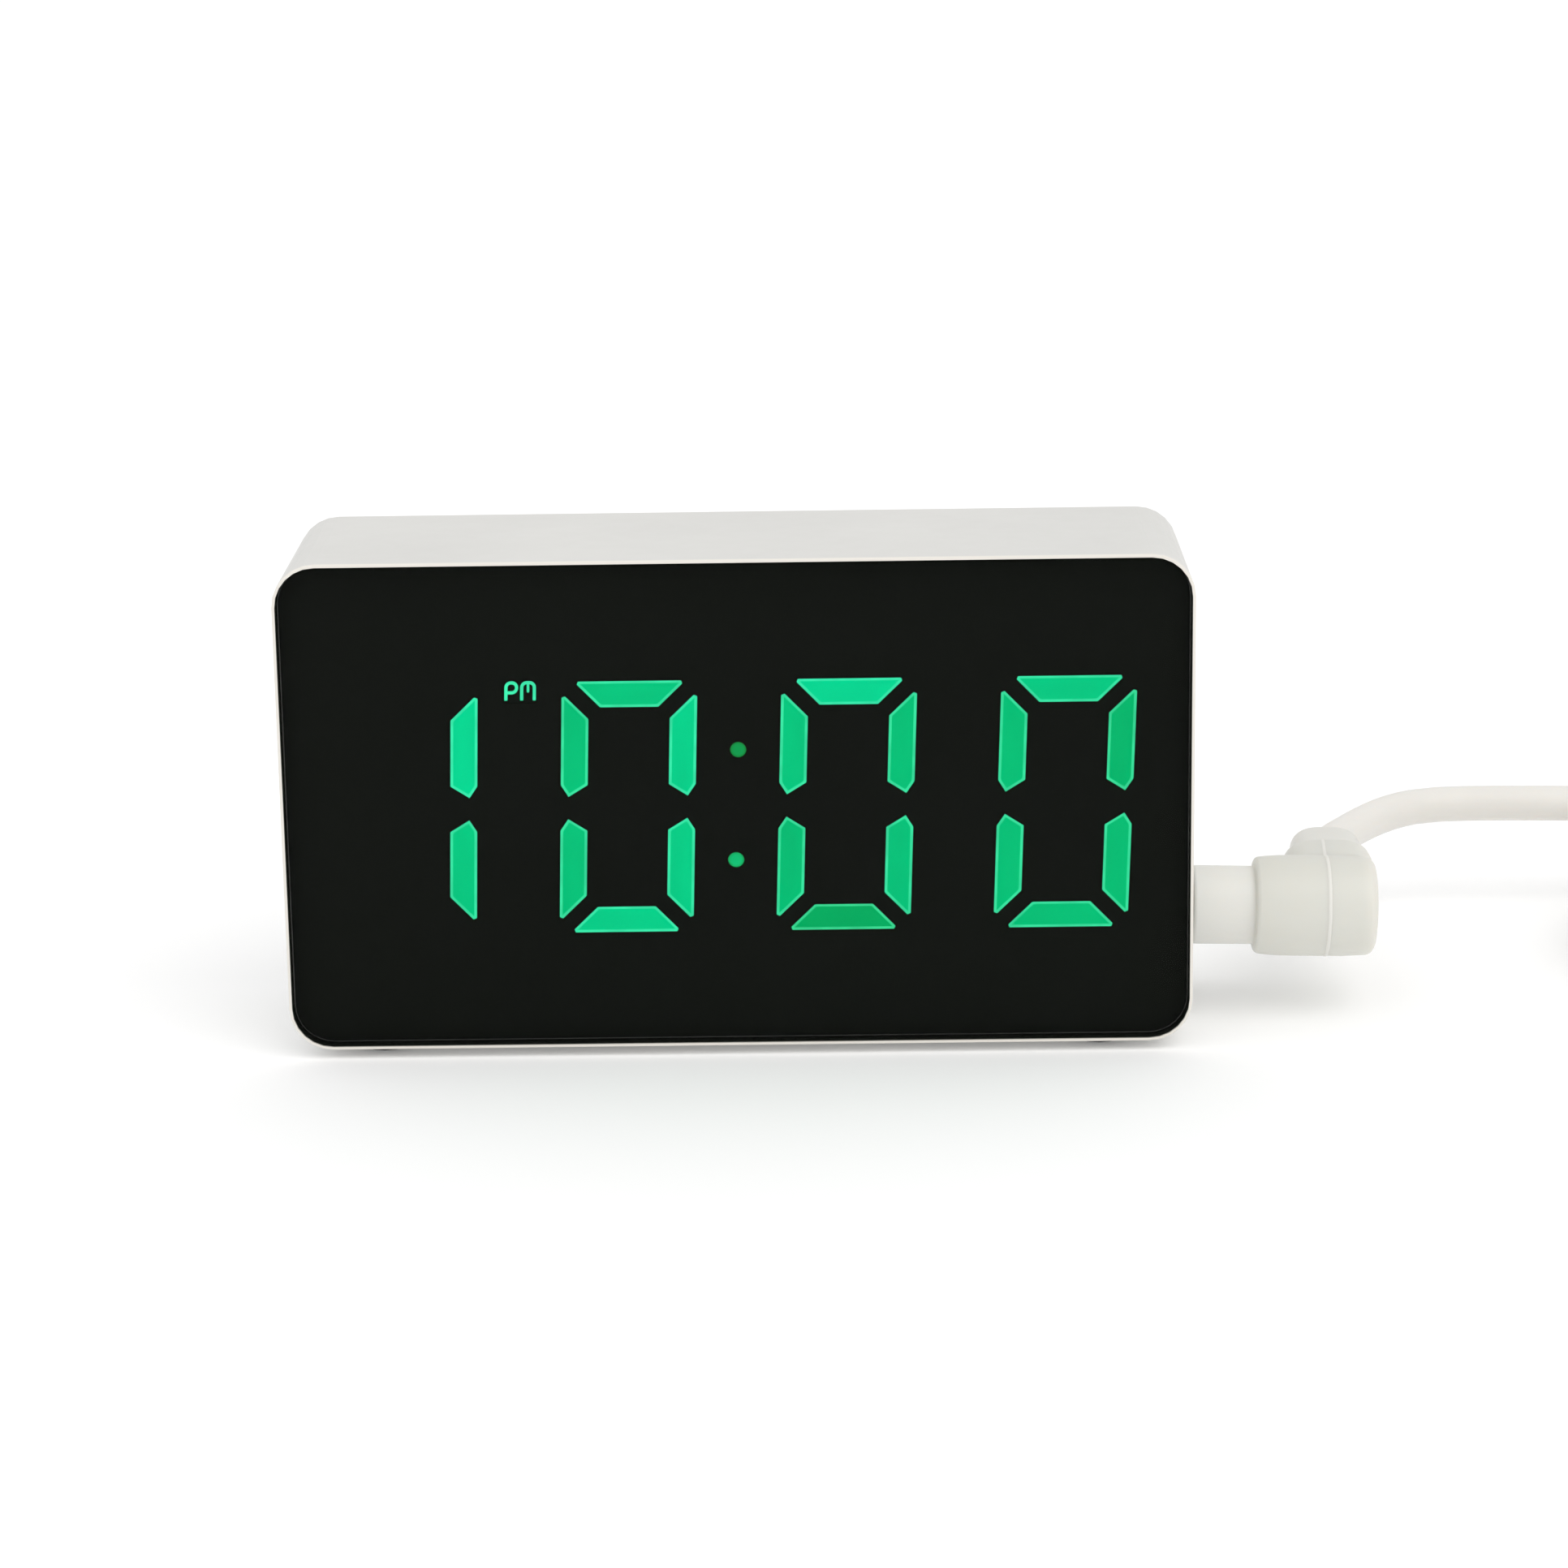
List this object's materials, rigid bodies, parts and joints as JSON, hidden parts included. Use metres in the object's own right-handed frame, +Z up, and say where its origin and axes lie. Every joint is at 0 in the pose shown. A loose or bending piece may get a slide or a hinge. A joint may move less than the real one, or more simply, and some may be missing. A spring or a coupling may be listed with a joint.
{
  "type": "alarm clock",
  "caption": "Small desk alarm clock with a black mirror-like digital display, white box case, rear keys, battery bay and a side power lead.",
  "frame": {"origin": "bottom centre of the clock standing on its feet, measured without the power lead", "axes": "+X to the clock's right as seen from the front, where the power lead plugs in; +Y from the display to the rear cover; +Z up"},
  "size_m": [0.2079, 0.0669, 0.052],
  "materials": {
    "white_shell": "satin",
    "black_panel": "polished, dark tinted",
    "mask_black": "matt",
    "light_guide": "diffusing, lit from behind",
    "circuit_board": "solder mask",
    "chip_black": "moulded",
    "switch_black": "moulded",
    "steel": "plated",
    "nickel": "nickel plated",
    "rubber_grey": "matt",
    "cell_wrap": "printed wrap",
    "ribbon_grey": "flat cable",
    "plug_white": "soft moulded",
    "cord_white": "smooth jacket",
    "tie_black": "moulded"
  },
  "bodies": {
    "clock": {"front_lens": "black_panel", "housing": "white_shell", "rear_cover": "white_shell", "time_switch": "switch_black", "up_switch": "switch_black", "down_switch": "switch_black", "alarm_switch": "switch_black", "foot_1": "rubber_grey", "foot_2": "rubber_grey", "foot_3": "rubber_grey", "foot_4": "rubber_grey", "display_mask": "mask_black", "hour_tens_guide": "light_guide", "hour_units_guide": "light_guide", "minute_tens_guide": "light_guide", "minute_units_guide": "light_guide", "colon_guide": "light_guide", "pm_guide": "light_guide", "display_board": "circuit_board", "main_board": "circuit_board", "case_screw_1": "steel", "case_screw_2": "steel", "case_screw_3": "steel", "case_screw_4": "steel", "board_screw_1": "steel", "board_screw_2": "steel", "battery_cell_1": "cell_wrap", "battery_cell_2": "cell_wrap", "battery_cell_3": "cell_wrap", "contact_left_single": "nickel", "contact_left_bridge": "nickel", "contact_right_bridge": "nickel", "contact_right_single": "nickel", "clock_crystal": "nickel", "dc_jack_pin": "nickel", "controller_chip": "chip_black", "buzzer": "chip_black", "ribbon_cable": "ribbon_grey", "dc_jack": "switch_black"},
    "door": {"battery_door": "white_shell"},
    "time_key": {"time_button": "white_shell", "time_plunger": "rubber_grey"},
    "up_key": {"up_button": "white_shell", "up_plunger": "rubber_grey"},
    "down_key": {"down_button": "white_shell", "down_plunger": "rubber_grey"},
    "alarm_key": {"alarm_button": "white_shell", "alarm_plunger": "rubber_grey"},
    "lead": {"power_plug": "plug_white", "plug_sleeve": "nickel", "strain_relief": "plug_white", "cord_lead": "cord_white", "cord_coil": "cord_white", "cord_tail": "cord_white", "cable_tie": "tie_black", "usb_plug_body": "plug_white", "usb_plug_shell": "nickel", "usb_tongue": "cord_white"}
  },
  "joints": [
    {"name": "battery_door_hinge", "type": "hinge", "parent": "clock", "child": "door", "pos_m": [-0.0165, 0.01195, 0.0092], "axis": [-1, 0, 0], "range_deg": [0, 80]},
    {"name": "time_press", "type": "slide", "parent": "clock", "child": "time_key", "axis": [0, -1, 0], "range_m": [0, 0.0004], "stiffness_N_per_m": 1500},
    {"name": "up_press", "type": "slide", "parent": "clock", "child": "up_key", "axis": [0, -1, 0], "range_m": [0, 0.0004], "stiffness_N_per_m": 1500},
    {"name": "down_press", "type": "slide", "parent": "clock", "child": "down_key", "axis": [0, -1, 0], "range_m": [0, 0.0004], "stiffness_N_per_m": 1500},
    {"name": "alarm_press", "type": "slide", "parent": "clock", "child": "alarm_key", "axis": [0, -1, 0], "range_m": [0, 0.0004], "stiffness_N_per_m": 1500},
    {"name": "plug_pull", "type": "slide", "parent": "clock", "child": "lead", "axis": [1, 0, 0], "range_m": [0, 0.0125]}
  ]
}
